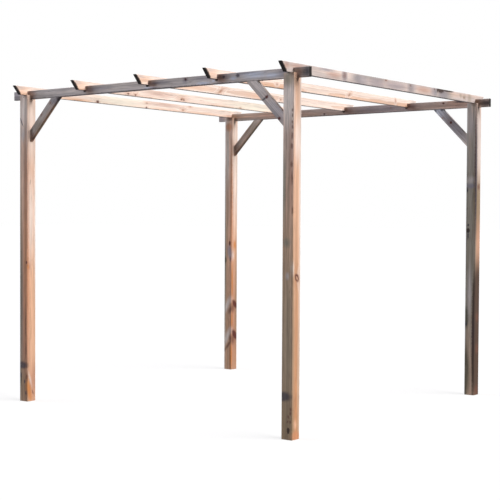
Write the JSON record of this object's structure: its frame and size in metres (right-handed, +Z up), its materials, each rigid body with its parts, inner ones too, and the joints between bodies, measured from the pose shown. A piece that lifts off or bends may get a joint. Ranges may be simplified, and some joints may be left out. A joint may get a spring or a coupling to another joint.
{
  "type": "wooden pergola",
  "caption": "Open-frame timber garden pergola: square posts with forked heads carry beams, notched rafters with bevelled ends lie across them, and knee braces stiffen the corners.",
  "frame": {"origin": "on the ground at the centre of the plan, under the middle of the roof", "axes": "+Z up, +X along the beams to the right, +Y along the rafters to the back"},
  "size_m": [3, 3, 2.605],
  "materials": {
    "post_timber": "planed softwood, weathered, matt",
    "beam_timber": "planed softwood, weathered, matt",
    "rafter_timber": "planed softwood, matt",
    "brace_timber": "planed softwood, weathered, matt",
    "screw_steel": "zinc-plated, dull"
  },
  "bodies": {
    "root": {"post_front_left": "post_timber", "post_front_right": "post_timber", "post_back_left": "post_timber", "post_back_right": "post_timber", "beam_front": "beam_timber", "beam_back": "beam_timber", "rafter_1": "rafter_timber", "rafter_2": "rafter_timber", "rafter_3": "rafter_timber", "rafter_4": "rafter_timber", "rafter_5": "rafter_timber", "brace_front_left": "brace_timber", "brace_front_right": "brace_timber", "brace_back_left": "brace_timber", "brace_back_right": "brace_timber"}
  },
  "joints": []
}
